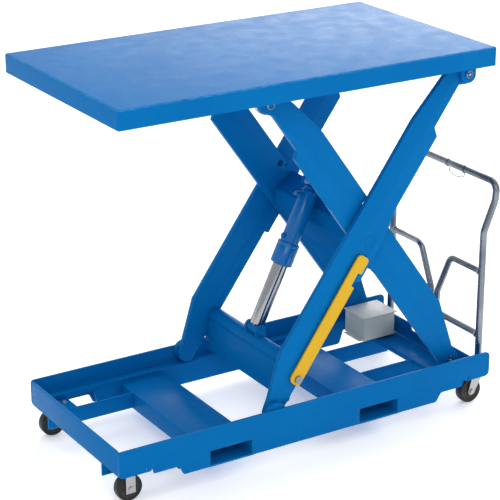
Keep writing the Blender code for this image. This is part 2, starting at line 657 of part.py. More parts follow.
def make_inner_leg(side):
    mid = LEG / 2
    holes = [circle((0, 0), PIN_RADIUS + RUN), circle((mid, 0), CENTRE_PIN_RADIUS + RUN),
             circle((LEG, 0), AXLE_RADIUS + GAP), circle((mid + 0.092, -0.061), 0.010),
             circle((mid + 0.073, -0.0735), 0.0035)]
    prism(f"{side}_inner_leg", inner_outline(), "Y", *across(side, INNER_IN, INNER_OUT), holes=holes,
          origin=(FOOT_X, PIVOT_Z), angle=INNER_ANGLE)
    tip, ring = OUTER_IN - 0.0024, INNER_OUT + GAP
    steps = [(0, tip), (0.0165, tip), (0.0165, ring), (AXLE_RADIUS, ring), (AXLE_RADIUS, TOP_ROLLER_IN - 0.001),
             (0, TOP_ROLLER_IN - 0.001)]
    profile = steps if side == "far" else [(r, -h) for r, h in reversed(steps)]
    turned(f"{side}_top_roller_axle", profile, (ROLLER_X, 0, HIGH_Z), finish=ZINC)


def make_centre_pin(side):
    lane = across(side, INNER_IN, OUTER_OUT)
    rod(f"{side}_centre_pin", CENTRE_X, CENTRE_Z, *lane, CENTRE_PIN_RADIUS)


def make_roller(name, side, x, z, inner, outer, bore):
    low, high = across(side, inner, outer)
    edge = ROLLER_RADIUS - 0.0015
    profile = [(bore, high), (edge, high), (ROLLER_RADIUS, high - 0.0015), (ROLLER_RADIUS, low + 0.0015),
               (edge, low), (bore, low), (bore, high)]
    turned(name, profile, (x, 0, z), finish=ZINC)


def make_torque_tube():
    """The tube between the outer legs' feet, with its stiffening plate and the rod's lugs."""
    reach = OUTER_IN - GAP
    obj = rod("torque_tube", *TORQUE_TUBE, -reach, reach, TORQUE_TUBE_RADIUS, finish=BLUE)
    start, leg = (ROLLER_X, PIVOT_Z), RAISED_ANGLE
    plate_outline = [(0.041, -0.042), (0.048, -0.046), (0.124, -0.014), (0.124, -0.003), (0.117, -0.003)]
    plate = prism("tube_plate", plate_outline, "Y", -reach, reach, origin=start, angle=leg, tool=True)
    join(obj, plate)
    eye = (ROD_PIN_S, ROD_PIN_N)
    lug_outline = [(TORQUE_TUBE_S - 0.014, TORQUE_TUBE_N + 0.002), (TORQUE_TUBE_S + 0.014, TORQUE_TUBE_N - 0.010),
                   *arc(eye, 0.018, -50, 140, 12)]
    for side in SIDES:
        lane = across(side, LUG_IN, LUG_OUT)
        lug = prism(f"{side}_rod_lug", lug_outline, "Y", *lane, origin=start, angle=leg, tool=True)
        boss = rod(f"{side}_lug_boss", *ROD_PIN, *across(side, LUG_OUT - 0.002, LUG_OUT + 0.005), 0.012, tool=True)
        join(obj, lug, boss)


def make_inner_cross_plate():
    """The folded plate between the inner legs beside the centre pin, with the barrel's lugs."""
    start, leg = (FOOT_X, PIVOT_Z), INNER_ANGLE
    mid = LEG / 2
    reach = INNER_IN - GAP
    plate_outline = [
        (mid - 0.115, 0.0225), (mid - 0.115, 0.0305), (mid + 0.006, 0.0305), (mid + 0.041, 0.0),
        (mid + 0.041, -0.078), (mid + 0.032, -0.078), (mid + 0.032, -0.003), (mid + 0.003, 0.0225),
    ]
    obj = prism("inner_cross_plate", plate_outline, "Y", -reach, reach, origin=start, angle=leg)
    eye = (mid + CYLINDER_TOP_S, CYLINDER_TOP_N)
    lug_outline = [(mid + 0.038, -0.066), *arc(eye, 0.020, -100, 120, 14), (mid + 0.038, -0.038)]
    hole = circle(eye, CYLINDER_PIN + GAP)
    for side in SIDES:
        lane = across(side, LUG_IN, LUG_OUT)
        lug = prism(f"{side}_barrel_lug", lug_outline, "Y", *lane, holes=[hole], origin=start, angle=leg, tool=True)
        join(obj, lug)
    head, tip = LUG_OUT + 0.004, LUG_OUT + GAP
    profile = [(0, head), (0.014, head), (0.014, tip), (CYLINDER_PIN, tip), (CYLINDER_PIN, -tip), (0.014, -tip),
               (0.014, -head), (0, -head)]
    turned("cylinder_top_pin", profile, (CYLINDER_TOP[0], 0, CYLINDER_TOP[1]), finish=ZINC)


# ---- hydraulic cylinder ---------------------------------------------------------------
def along_cylinder(obj, distance=0.0):
    """Stands a shape turned about its own Z along the cylinder, distance up from the rod's pin."""
    lean = math.pi / 2 - CYLINDER_ANGLE
    obj.rotation_euler = (0, lean, 0)
    x, z = on_leg(ROD_PIN, CYLINDER_ANGLE, distance, 0)
    obj.location = (x + SHIFT_X, 0, z)


def cylinder_eye(name, place, radius, bore, half, finish, tool):
    outline = arc(place, radius, 0, 360 - 360 / ROUND, ROUND - 1)
    holes = [circle(place, bore)] if bore else []
    return prism(name, outline, "Y", -half, half, holes=holes, finish=finish, tool=tool)


def make_barrel():
    """A closed tube whose eye is on the top pin, with the gland screwed on its open end."""
    mouth = PIN_SPAN - BARREL_LENGTH
    closed_end = PIN_SPAN - 0.014
    bore_end = PIN_SPAN - 0.0345
    bore = ROD_RADIUS + BORE_CLEARANCE
    profile = [(0, closed_end), (0.018, closed_end), (0.021, closed_end - 0.004),
               (0.021, closed_end - 0.010), (BARREL_RADIUS, closed_end - 0.016),
               (BARREL_RADIUS, mouth + 0.004), (bore, mouth + 0.004), (bore, bore_end), (0, bore_end)]
    obj = turned("cylinder_barrel", profile, (0, 0, 0), "Z", finish=BLUE)
    along_cylinder(obj)
    eye = cylinder_eye("barrel_eye", CYLINDER_TOP, 0.018, 0, LUG_IN - LUG_GAP, BLUE, True)
    hole = rod("barrel_eye_bore", *CYLINDER_TOP, -LUG_OUT, LUG_OUT, CYLINDER_PIN + RUN, tool=True)
    join(obj, eye)
    cut(obj, hole)
    gland = [(bore, mouth + GLAND_LENGTH), (GLAND_RADIUS - 0.003, mouth + GLAND_LENGTH),
             (GLAND_RADIUS, mouth + GLAND_LENGTH - 0.003), (GLAND_RADIUS, mouth + 0.003),
             (GLAND_RADIUS - 0.003, mouth), (bore, mouth)]
    inner = BARREL_RADIUS + GAP
    gland = [(inner, mouth + GLAND_LENGTH), *gland[1:], (bore, mouth + 0.0037), (inner, mouth + 0.0037),
             (inner, mouth + GLAND_LENGTH)]
    collar = turned("gland_collar", gland, (0, 0, 0), "Z", finish=BLUE)
    along_cylinder(collar)


def make_piston_rod():
    inner_end = PIN_SPAN - BARREL_LENGTH + 0.040
    profile = [(0, inner_end), (ROD_RADIUS, inner_end), (ROD_RADIUS, 0.024), (0.018, 0.015), (0.012, 0.006), (0, 0.006)]
    obj = turned("piston_rod", profile, (0, 0, 0), "Z", finish=BRIGHT)
    along_cylinder(obj)
    join(obj, cylinder_eye("rod_eye", ROD_PIN, 0.0155, 0, 0.020, BRIGHT, True))


# ---- platform ---------------------------------------------------------------------------
def make_deck():
    """A pan of one sheet, folded down on all four sides and open below."""
    work = bmesh.new()
    bmesh.ops.create_cube(work, size=1.0)
    size = Vector((DECK_LENGTH, DECK_WIDTH, DECK_SKIRT))
    bmesh.ops.scale(work, vec=size, verts=work.verts)
    centre = Vector((DECK_LENGTH / 2 + SHIFT_X, 0, DECK_TOP - DECK_SKIRT / 2))
    bmesh.ops.translate(work, vec=centre, verts=work.verts)
    under = [face for face in work.faces if face.normal.z < -0.5]
    bmesh.ops.delete(work, geom=under, context="FACES_ONLY")
    folded = [edge for edge in work.edges if not edge.is_boundary]
    bmesh.ops.bevel(work, geom=folded, offset=DECK_CORNER, segments=4, profile=0.5, affect="EDGES")
    mesh = bpy.data.meshes.new("deck")
    work.to_mesh(mesh)
    work.free()
    obj = add_object("deck", mesh, PARTS)
    sheet = obj.modifiers.new("Sheet", "SOLIDIFY")
    sheet.thickness = DECK_SHEET
    sheet.offset = -1
    sheet.use_even_offset = True
    mesh.shade_smooth()
    mesh.set_sharp_from_angle(angle=math.radians(35))
    paint(obj, BLUE)


def make_upper_track(side):
    """A hollow rail under the deck that a top roller runs along."""
    inner, outer = across(side, TOP_ROLLER_IN - 0.003, TOP_ROLLER_OUT + 0.001)
    bottom, top = HIGH_Z + ROLLER_RADIUS + GAP, DECK_UNDER - GAP
    wall = UPPER_TRACK_WALL
    hollow = box_outline(inner + wall, outer - wall, bottom + wall, top - wall)
    prism(f"{side}_upper_track", box_outline(inner, outer, bottom, top), "X", 0.020, 0.020 + UPPER_TRACK_LENGTH,
          holes=[hollow])


def make_deck_bracket(side):
    """The ear that hangs from the deck outside an outer leg, and its pin."""
    inner, outer = OUTER_OUT + 0.003, OUTER_OUT + 0.015
    top = DECK_UNDER - GAP
    outline = [(FOOT_X + 0.027, top), (FOOT_X - 0.031, top), *arc((FOOT_X, HIGH_Z), 0.027, 200, 340, 12)]
    hole = circle((FOOT_X, HIGH_Z), PIN_RADIUS + GAP)
    prism(f"{side}_deck_bracket", outline, "Y", *across(side, inner, outer), holes=[hole])
    tip = outer + 0.0025
    steps = [(0, tip), (0.015, tip), (0.015, outer + GAP), (PIN_RADIUS, outer + GAP), (PIN_RADIUS, OUTER_IN - 0.001),
             (0, OUTER_IN - 0.001)]
    profile = steps if side == "far" else [(r, -h) for r, h in reversed(steps)]
    turned(f"{side}_deck_pin", profile, (FOOT_X, 0, HIGH_Z), finish=ZINC)


def make_maintenance_bar():
    """The yellow safety bar on the near outer leg, with a notch near its free end."""
    low, high = -0.0165, BAR_WIDTH - 0.0165
    start, end = -0.018, BAR_LENGTH - 0.018
    notch = end - 0.0937
    corners = [(start, low, 0.012), (notch, low, 0.002), (notch + 0.001, low + 0.0135, 0.003),
               (notch + 0.043, low + 0.0135, 0.003), (notch + 0.044, low, 0.002), (end, low, 0.012),
               (end, high, 0.014), (start, high, 0.018)]
    inner, outer = OUTER_OUT + 0.006, OUTER_OUT + 0.006 + BAR_SHEET
    hole = circle((0, 0), BAR_BOLT_RADIUS + RUN)
    prism("maintenance_bar", rounded(corners), "Y", -outer, -inner, holes=[hole], finish=YELLOW,
          origin=BAR_PIVOT, angle=BAR_ANGLE)
    head, collar = outer + 0.0055, inner - GAP
    bolt = [(0, -OUTER_IN), (BAR_BOLT_RADIUS, -OUTER_IN), (BAR_BOLT_RADIUS, -(OUTER_OUT + GAP)),
            (0.011, -(OUTER_OUT + GAP)), (0.011, -collar), (BAR_BOLT_RADIUS, -collar),
            (BAR_BOLT_RADIUS, -(outer + RUN)), (0.012, -(outer + RUN)), (0.012, -head), (0, -head)]
    turned("bar_bolt", bolt, (BAR_PIVOT[0], 0, BAR_PIVOT[1]), finish=BRIGHT)


# ---- the table ------------------------------------------------------------------------------
clear_scene()
PARTS = make_collection("scissor_lift_table")
CUTTERS = make_collection("cutters", hidden=True)

make_end_plates()
make_fork_tube("left_fork_tube", LEFT_TUBE_X)
make_fork_tube("right_fork_tube", RIGHT_TUBE_X)
make_pivot_channel()
make_control_box()
make_tow_handle()
make_torque_tube()
make_inner_cross_plate()
make_barrel()
make_piston_rod()
make_deck()
make_maintenance_bar()
for each in SIDES:
    make_side_plate(each)
    make_track(each)
    make_caster_pocket(each)
    make_rear_caster_plate(each)
    make_foot(each)
    make_rigid_fork(each)
    make_swivel_fork(each)
    wheel(f"{each}_left_wheel", LEFT_WHEEL_X, each)
    wheel(f"{each}_right_wheel", RIGHT_WHEEL_X, each)
    make_outer_leg(each)
    make_inner_leg(each)
    make_centre_pin(each)
    make_roller(f"{each}_lower_roller", each, ROLLER_X, PIVOT_Z, ROLLER_IN, ROLLER_OUT, AXLE_RADIUS + RUN)
    make_roller(f"{each}_top_roller", each, ROLLER_X, HIGH_Z, TOP_ROLLER_IN, TOP_ROLLER_OUT, AXLE_RADIUS + RUN)
    make_upper_track(each)
    make_deck_bracket(each)
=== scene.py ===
# %% [markdown]
# # A scissor lift table, finished for the camera
# The table is welded from flat steel plate, sprayed with glossy blue enamel, and rolls on
# four small casters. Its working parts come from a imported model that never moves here.
# This script gives each of them soft edges, weld beads, fasteners and paint.

# %% Load the frame
import json
import math

import bmesh
import bpy
from mathutils import Matrix, Vector


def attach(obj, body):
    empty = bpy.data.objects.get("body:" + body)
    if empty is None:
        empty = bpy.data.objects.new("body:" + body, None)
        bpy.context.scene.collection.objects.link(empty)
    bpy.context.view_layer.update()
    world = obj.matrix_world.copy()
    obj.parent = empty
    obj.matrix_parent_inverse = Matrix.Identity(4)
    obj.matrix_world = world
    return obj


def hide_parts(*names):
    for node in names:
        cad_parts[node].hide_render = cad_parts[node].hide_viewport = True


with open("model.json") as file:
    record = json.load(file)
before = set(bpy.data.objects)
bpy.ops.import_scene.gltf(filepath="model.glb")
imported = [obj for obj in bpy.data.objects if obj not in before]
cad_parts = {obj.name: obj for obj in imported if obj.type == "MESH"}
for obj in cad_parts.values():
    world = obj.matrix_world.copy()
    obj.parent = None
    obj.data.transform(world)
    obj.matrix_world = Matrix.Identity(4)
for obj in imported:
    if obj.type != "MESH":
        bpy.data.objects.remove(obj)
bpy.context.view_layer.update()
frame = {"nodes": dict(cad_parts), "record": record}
body_of = {node: body for body, nodes in frame["record"]["behaviour"]["bodies"].items() for node in nodes}
slot_of = {entry["node"]: entry["material_slot"] for entry in frame["record"]["subparts"]}
SIDES = {"near": -1, "far": 1}
X_AXIS, Y_AXIS, Z_AXIS = (1, 0, 0), (0, 1, 0), (0, 0, 1)

# %% [markdown]
# ## Camera
# A long lens stands far off and a little above the table, as for a catalogue picture, so the
# upright lines stay nearly parallel. Its place is measured from the middle of the floor
# under the table. The rotation is built from the direction that the lens looks along.

# %% Place the camera
CAMERA_PLACE = Vector((-2.7024, -4.2317, 2.4482))
CAMERA_AZIMUTH, CAMERA_HEIGHT, CAMERA_ROLL = map(math.radians, (-31.867, 20.787, -0.05))
LENS_MM = 130.47


def look(azimuth, height, roll):
    """The rotation of a camera whose back points along the azimuth and up by the height."""
    level = math.cos(height)
    back = Vector((math.sin(azimuth) * level, -math.cos(azimuth) * level, math.sin(height)))
    right = Vector((0, 0, 1)).cross(back).normalized()
    turned = Matrix((right, back.cross(right), back)).transposed()
    return turned @ Matrix.Rotation(roll, 3, "Z")


camera = bpy.data.objects.new("camera", bpy.data.cameras.new("camera"))
bpy.context.scene.collection.objects.link(camera)
camera.data.lens = LENS_MM
camera.data.sensor_width = 36.0
aim = look(CAMERA_AZIMUTH, CAMERA_HEIGHT, CAMERA_ROLL).to_4x4()
camera.matrix_world = Matrix.Translation(CAMERA_PLACE) @ aim
bpy.context.scene.camera = camera
bpy.context.scene.view_settings.view_transform = "Standard"
print("camera stands at", tuple(round(v, 3) for v in camera.location))

# %% [markdown]
# ## Paint and metal
# Every finish is a Principled shader with a few noise textures on Object coordinates. One
# noise drifts the colour a little over a hand's width, a finer one breaks up the gloss, and
# a bump of about a millimetre stands for the orange peel of sprayed enamel.


# %% A helper that starts a finish
def start_finish(name, metallic=0.0, ior=1.45, specular=0.5):
    """A material, its nodes, its links and its shader, with Object coordinates ready."""
    material = bpy.data.materials.new(name)
    material.use_nodes = True
    nodes, links = material.node_tree.nodes, material.node_tree.links
    shader = nodes["Principled BSDF"]
    shader.inputs["Metallic"].default_value = metallic
    shader.inputs["IOR"].default_value = ior
    shader.inputs["Specular IOR Level"].default_value = specular
    place = nodes.new("ShaderNodeTexCoord")
    return material, nodes, links, shader, place.outputs["Object"]


def noise(nodes, links, place, scale, detail=3.0, stretch=None):
    """A noise texture's factor, with its pattern stretched where asked."""
    texture = nodes.new("ShaderNodeTexNoise")
    texture.inputs["Scale"].default_value = scale
    texture.inputs["Detail"].default_value = detail
    if stretch:
        mapping = nodes.new("ShaderNodeMapping")
        mapping.inputs["Scale"].default_value = stretch
        links.new(place, mapping.inputs["Vector"])
        place = mapping.outputs["Vector"]
    links.new(place, texture.inputs["Vector"])
    return texture.outputs["Fac"]


def spread(nodes, links, factor, low, high):
    """Moves a noise's middle range onto low to high."""
    fit = nodes.new("ShaderNodeMapRange")
    fit.inputs["From Min"].default_value = 0.3
    fit.inputs["From Max"].default_value = 0.7
    fit.inputs["To Min"].default_value = low
    fit.inputs["To Max"].default_value = high
    links.new(factor, fit.inputs["Value"])
    return fit.outputs["Result"]


def blend_colours(nodes, links, factor, first, second):
    mix = nodes.new("ShaderNodeMix")
    mix.data_type = "RGBA"
    links.new(factor, mix.inputs[0])
    for socket, colour in ((mix.inputs[6], first), (mix.inputs[7], second)):
        if isinstance(colour, tuple):
            socket.default_value = (*colour, 1.0)
        else:
            links.new(colour, socket)
    return mix.outputs[2]


def add_bump(nodes, links, shader, height, strength, distance):
    bump = nodes.new("ShaderNodeBump")
    bump.inputs["Strength"].default_value = strength
    bump.inputs["Distance"].default_value = distance
    links.new(height, bump.inputs["Height"])
    links.new(bump.outputs["Normal"], shader.inputs["Normal"])


# %% Sprayed enamel, for the blue, yellow and grey paints
def enamel(name, light, dark, edge_highlight, rough, ior, peel=0.05):
    material, nodes, links, shader, place = start_finish(name, ior=ior)
    drift = spread(nodes, links, noise(nodes, links, place, 3.5), 0.0, 1.0)
    colour = blend_colours(nodes, links, drift, light, dark)
    # Painted highlight: the lighter edge colour is mixed in where the bevels' middles are marked, broken up by
    # noise.
    edge = nodes.new("ShaderNodeAttribute")
    edge.attribute_name = "edge_highlight"
    patches = spread(nodes, links, noise(nodes, links, place, 45.0, 5.0), 0.0, 0.7)
    edge_highlight_amount = nodes.new("ShaderNodeMath")
    edge_highlight_amount.operation = "MULTIPLY"
    links.new(edge.outputs["Fac"], edge_highlight_amount.inputs[0])
    links.new(patches, edge_highlight_amount.inputs[1])
    colour = blend_colours(nodes, links, edge_highlight_amount.outputs[0], colour, edge_highlight)
    links.new(colour, shader.inputs["Base Color"])
    gloss = spread(nodes, links, noise(nodes, links, place, 18.0, 4.0), rough - 0.05, rough + 0.07)
    links.new(gloss, shader.inputs["Roughness"])
    add_bump(nodes, links, shader, noise(nodes, links, place, 420.0, 2.0), peel, 0.001)
    return material


# The third blue is the painted highlight for the bevelled edges.
BLUE_LIGHT, BLUE_DARK, BLUE_EDGE_HIGHLIGHT = (0.001, 0.146, 0.415), (0.001, 0.130, 0.385), (0.060, 0.290, 0.620)
blue_paint = enamel("blue_enamel", BLUE_LIGHT, BLUE_DARK, BLUE_EDGE_HIGHLIGHT, 0.28, 1.09)
glossy_blue = enamel("glossy_blue", BLUE_LIGHT, BLUE_DARK, BLUE_EDGE_HIGHLIGHT, 0.16, 1.40)
# A darker, rougher copy of the blue for the cross plate between the inner legs: its darker colour is painted
# shade.
dull_shaded_blue = enamel("dull_shaded_blue", BLUE_DARK, (0.001, 0.118, 0.355), BLUE_DARK, 0.60, 1.02)
yellow_paint = enamel("yellow_enamel", (0.670, 0.400, 0.011), (0.620, 0.360, 0.008),
                      (0.860, 0.560, 0.120), 0.42, 1.3)
box_paint = enamel("box_grey", (0.56, 0.59, 0.52), (0.51, 0.54, 0.475), (0.440, 0.460, 0.470), 0.45, 1.3, 0.12)
lid_paint = enamel("lid_grey", (0.490, 0.510, 0.505), (0.450, 0.470, 0.465),
                   (0.700, 0.710, 0.720), 0.42, 1.3, 0.12)
print("paints mixed")

# %% Bright and zinc plated steel, drawn along its length or turned
def plated(name, light, dark, rough, stretch, scale=60.0, scratch=0.05):
    material, nodes, links, shader, place = start_finish(name, metallic=1.0)
    drift = spread(nodes, links, noise(nodes, links, place, 9.0), 0.0, 1.0)
    links.new(blend_colours(nodes, links, drift, light, dark), shader.inputs["Base Color"])
    lines = noise(nodes, links, place, scale, 4.0, stretch)
    links.new(spread(nodes, links, lines, rough - 0.06, rough + 0.10), shader.inputs["Roughness"])
    add_bump(nodes, links, shader, lines, scratch, 0.0006)
    return material


bright_steel = plated("bright_steel", (0.240, 0.272, 0.310), (0.125, 0.142, 0.163), 0.24, (1, 1, 6))
chrome_rod = plated("chrome_rod", (0.340, 0.350, 0.365), (0.280, 0.290, 0.305), 0.12, (4, 1, 4), 90.0, 0.02)
zinc = plated("zinc_plate", (0.520, 0.520, 0.505), (0.380, 0.378, 0.360), 0.36, (2, 2, 2), 40.0, 0.08)
dark_steel = plated("dark_steel", (0.230, 0.235, 0.245), (0.150, 0.155, 0.165), 0.40, (1, 5, 1))
pink_zinc = plated("pink_zinc", (0.620, 0.480, 0.440), (0.520, 0.380, 0.340), 0.36, (2, 2, 2), 40.0, 0.08)


# %% Moulded rubber and plastic, for the casters
def rubber(name, light, dark, rough):
    material, nodes, links, shader, place = start_finish(name, specular=0.35)
    dust = spread(nodes, links, noise(nodes, links, place, 25.0, 5.0), 0.0, 1.0)
    links.new(blend_colours(nodes, links, dust, light, dark), shader.inputs["Base Color"])
    links.new(spread(nodes, links, noise(nodes, links, place, 60.0), rough - 0.08, rough + 0.08),
              shader.inputs["Roughness"])
    add_bump(nodes, links, shader, noise(nodes, links, place, 700.0, 2.0), 0.15, 0.0006)
    return material


tyre_rubber = rubber("tyre_rubber", (0.007, 0.007, 0.008), (0.014, 0.014, 0.014), 0.36)
hub_plastic = rubber("hub_plastic", (0.022, 0.022, 0.024), (0.034, 0.034, 0.036), 0.38)
print("metals and rubber ready")

FINISH = {
    "blue_paint": blue_paint, "yellow_paint": yellow_paint, "box_grey": box_paint, "lid_grey": lid_paint,
    "zinc_steel": zinc, "bright_steel": bright_steel, "caster_rubber": tyre_rubber,
}

# %% [markdown]
# ## From a bmesh to a piece of the table
# Each new piece is a mesh whose place is in its own points, so its object stays at the
# origin. One helper makes the object, shades it, paints it and rides it on its body.


# %% Finish a piece
def piece_of(work, name, body, material, slot="blue_paint", smooth=35.0):
    """Turns a bmesh into an object that rides on a body."""
    mesh = bpy.data.meshes.new(name)
    work.to_mesh(mesh)
    work.free()
    mesh.shade_smooth()
    mesh.set_sharp_from_angle(angle=math.radians(smooth))
    mesh.materials.append(material)
    piece = bpy.data.objects.new(name, mesh)
    bpy.context.scene.collection.objects.link(piece)
    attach(piece, body)
    return piece


# %% [markdown]
# ## Soft edges on the plates
# Cut and sheared plate never has a razor edge: paint flows round it and it catches a line of
# light. A copy of each plate's mesh is merged, its flat triangles are dissolved into whole
# faces, and its sharp edges are bevelled. The bevel's middle points are marked, and the paint
# lightens them a little, as a painted highlight along each edge.


# %% Soften a plate
def soften(node, width=0.0012, material=None, sharper_than=32.0):
    """A copy of a CAD node with rounded edges, which stands for that node."""
    work = bmesh.new()
    work.from_mesh(frame["nodes"][node].data)
    bmesh.ops.remove_doubles(work, verts=work.verts, dist=1e-5)
    bmesh.ops.dissolve_limit(work, angle_limit=math.radians(0.6), verts=work.verts, edges=work.edges)
    # Marks the bevels' middle points for the painted edge highlight.
    edge_highlight = work.verts.layers.float.new("edge_highlight")
    sharp = [edge for edge in work.edges if edge.calc_face_angle(0.0) > math.radians(sharper_than)]
    made = bmesh.ops.bevel(work, geom=sharp, offset=width, offset_type="OFFSET", affect="EDGES", segments=3,
                           profile=0.5, material=-1, clamp_overlap=True)
    rim = set(made["faces"])
    for vert in made["verts"]:
        if all(face in rim for face in vert.link_faces):
            vert[edge_highlight] = 1.0
    slot = slot_of[node]
    piece = piece_of(work, f"{node}_plate", body_of[node], material or FINISH[slot], slot, 40.0)
    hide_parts(node)
    return piece


PLATES = [
    "near_side_plate", "far_side_plate", "front_plate", "rear_plate", "near_track", "far_track",
    "left_fork_tube", "right_fork_tube", "near_caster_pocket", "far_caster_pocket",
    "near_rear_caster_plate", "far_rear_caster_plate", "pivot_channel", "near_foot_bracket",
    "far_foot_bracket", "near_inner_leg", "far_inner_leg", "inner_cross_plate", "near_outer_leg",
    "far_outer_leg", "near_deck_bracket", "far_deck_bracket", "near_upper_track", "far_upper_track",
    "control_box", "control_box_lid", "maintenance_bar", "torque_tube",
    "near_rigid_fork", "far_rigid_fork", "near_swivel_fork", "far_swivel_fork",
]
PLATE_EDGE, THIN_EDGE = 0.0012, 0.0005
for plate in PLATES:
    edge = THIN_EDGE if plate.endswith(("rigid_fork", "swivel_fork")) else PLATE_EDGE
    # The cross plate between the inner legs takes the darker copy of the blue, as painted shade.
    soften(plate, edge, dull_shaded_blue if plate == "inner_cross_plate" else None)
print("softened", len(PLATES), "plates")

# %% Paint the nodes that keep their own shape
for node, obj in frame["nodes"].items():
    obj.data.materials.clear()
    painted = node.endswith("foot_pin")
    obj.data.materials.append(blue_paint if painted else FINISH[slot_of[node]])

# %% [markdown]
# ## Round and swept shapes
# Turned parts are drawn as a profile of radius and height and spun about an axis. Tubes,
# weld beads and rings are a small circle carried along a path. Both add to an open bmesh,
# so one piece can hold a whole set of bolts or beads.


# %% Spin a profile, sweep a path
def axes_for(axis):
    axis = Vector(axis).normalized()
    side = axis.orthogonal().normalized()
    return axis, side, axis.cross(side)


def spin(work, profile, place, axis=(0, 1, 0), steps=48):
    """Turns a profile of (radius, height) about an axis through place."""
    axis, side, _ = axes_for(axis)
    place = Vector(place)
    older = set(work.faces)
    verts = [work.verts.new(place + axis * height + side * radius) for radius, height in profile]
    edges = [work.edges.new(pair) for pair in zip(verts, verts[1:])]
    bmesh.ops.spin(work, geom=verts + edges, cent=place, axis=axis, dvec=(0, 0, 0), angle=2 * math.pi,
                   steps=steps, use_merge=True)
    touched = {vert for face in work.faces if face not in older for vert in face.verts}
    bmesh.ops.remove_doubles(work, verts=list(touched), dist=1e-6)
    bmesh.ops.recalc_face_normals(work, faces=[face for face in work.faces if face not in older])


def stations(path, closed):
    """A turn and a place for each point of a path, with no twist between one and the next."""
    path = [Vector(p) for p in path]
    side = None
    for i, here in enumerate(path):
        before = path[i - 1] if i or closed else here
        after = path[(i + 1) % len(path)] if i < len(path) - 1 or closed else here
        along = (after - before).normalized()
        side = side or along.orthogonal().normalized()
        side = (side - along * side.dot(along)).normalized()
        turn = Matrix((along.cross(side), side, along)).transposed()
        yield Matrix.Translation(here) @ turn.to_4x4()


def sweep(work, path, radius, sides=16, ripple=0.0, closed=False):
    """Carries a circle along a path; a ripple gives a weld bead its overlapping scales."""
    older = set(work.faces)
    here, first_rim, rim = None, None, None
    for i, station in enumerate(stations(path, closed)):
        station = station @ Matrix.Scale(radius * (1 + ripple * (i % 2)), 4)
        if here is None:
            ring = bmesh.ops.create_circle(work, segments=sides, radius=1.0, matrix=station)["verts"]
            rim = first_rim = list({edge for vert in ring for edge in vert.link_edges})
        else:
            made = bmesh.ops.extrude_edge_only(work, edges=rim)["geom"]
            ring = {part for part in made if isinstance(part, bmesh.types.BMVert)}
            edges = [part for part in made if isinstance(part, bmesh.types.BMEdge)]
            rim = [edge for edge in edges if ring.issuperset(edge.verts)]
            bmesh.ops.transform(work, matrix=station @ here.inverted(), verts=list(ring))
        here = station
    if closed:
        bmesh.ops.bridge_loops(work, edges=first_rim + rim)
    else:
        bmesh.ops.holes_fill(work, edges=first_rim + rim, sides=sides)
    bmesh.ops.recalc_face_normals(work, faces=[face for face in work.faces if face not in older])


def line(start, end, step=0.004):
    """Points at an even step between two places."""
    start, end = Vector(start), Vector(end)
    count = max(2, round((end - start).length / step) + 1)
    return [start.lerp(end, k / (count - 1)) for k in range(count)]


def ring_path(place, axis, radius, start=0.0, end=360.0, steps=48):
    axis, side, other = axes_for(axis)
    stop = steps if end - start >= 360 else steps + 1
    angles = [math.radians(start + (end - start) * k / steps) for k in range(stop)]
    return [Vector(place) + (side * math.cos(a) + other * math.sin(a)) * radius for a in angles]


def hexagon(work, place, axis, across, height):
    """A hexagon head or nut with a chamfered rim and a shallow dished face."""
    r = across / 2 / math.cos(math.pi / 6)
    spin(work, [(0, 0), (r, 0), (r, height * 0.8), (r * 0.86, height), (r * 0.4, height), (0, height * 0.85)],
         place, axis, 6)


def washer(work, place, axis, radius, height=0.0012):
    profile = [(0, 0), (radius, 0), (radius, height * 0.7), (radius * 0.94, height), (0, height)]
    spin(work, profile, place, axis, 32)


def bolt_head(work, place, axis, across=0.010, height=0.005):
    axis = Vector(axis)
    washer(work, place, axis, across * 0.75)
    hexagon(work, Vector(place) + axis.normalized() * 0.001, axis, across, height)


def bead(work, start, end, radius=0.0024):
    """A straight run of weld."""
    sweep(work, line(start, end, 0.0032), radius, 10, 0.22)


def weld_ring(work, place, axis, radius, size, steps=44, ripple=0.25):
    """A ring of weld, or of plain wire where it has no ripple."""
    sweep(work, ring_path(place, axis, radius, 0, 360, steps), size, 8, ripple, True)


joint_at = {j["name"]: Vector(j["pos_m"]) for j in frame["record"]["behaviour"]["joints"] if "pos_m" in j}
print("places of", len(joint_at), "joints known")

# %% [markdown]
# ## The platform
# The platform is one sheet folded down on four sides. Its fold has a tight radius, and a painted
# highlight on the fold's upper half draws the pale line along the table's rim.

# %% Fold the platform's skin
DECK_HALF = Vector((0.6096, 0.339))
DECK_X, DECK_TOP, DECK_DEEP = -0.0634, 1.160, 0.0547
DECK_FOLD, DECK_SHEET = 0.0062, 0.005
work = bmesh.new()
bmesh.ops.create_cube(work, size=1.0)
bmesh.ops.scale(work, vec=(2 * DECK_HALF.x, 2 * DECK_HALF.y, DECK_DEEP), verts=work.verts)
bmesh.ops.translate(work, vec=(DECK_X, 0, DECK_TOP - DECK_DEEP / 2), verts=work.verts)
under = [face for face in work.faces if face.normal.z < -0.5]
bmesh.ops.delete(work, geom=under, context="FACES_ONLY")
folds = [edge for edge in work.edges if not edge.is_boundary]
bmesh.ops.bevel(work, geom=folds, offset=DECK_FOLD, segments=6, profile=0.5, material=-1, affect="EDGES")
# The fold's upper half is marked for the painted highlight along the rim.
edge_highlight = work.verts.layers.float.new("edge_highlight")
for vert in work.verts:
    if 0.45 < vert.normal.z < 0.93:
        vert[edge_highlight] = 1.0
bmesh.ops.solidify(work, geom=work.faces[:], thickness=DECK_SHEET)
deck_skin = piece_of(work, "deck_skin", "platform", blue_paint, "blue_paint", 30.0)
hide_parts("deck")

# %% [markdown]
# ## Legs, pins and rings
# Every pivot pin is painted with the legs and held by a bright snap ring in a groove near
# its end. The rings are open on one side, with two small eyes for the pliers.

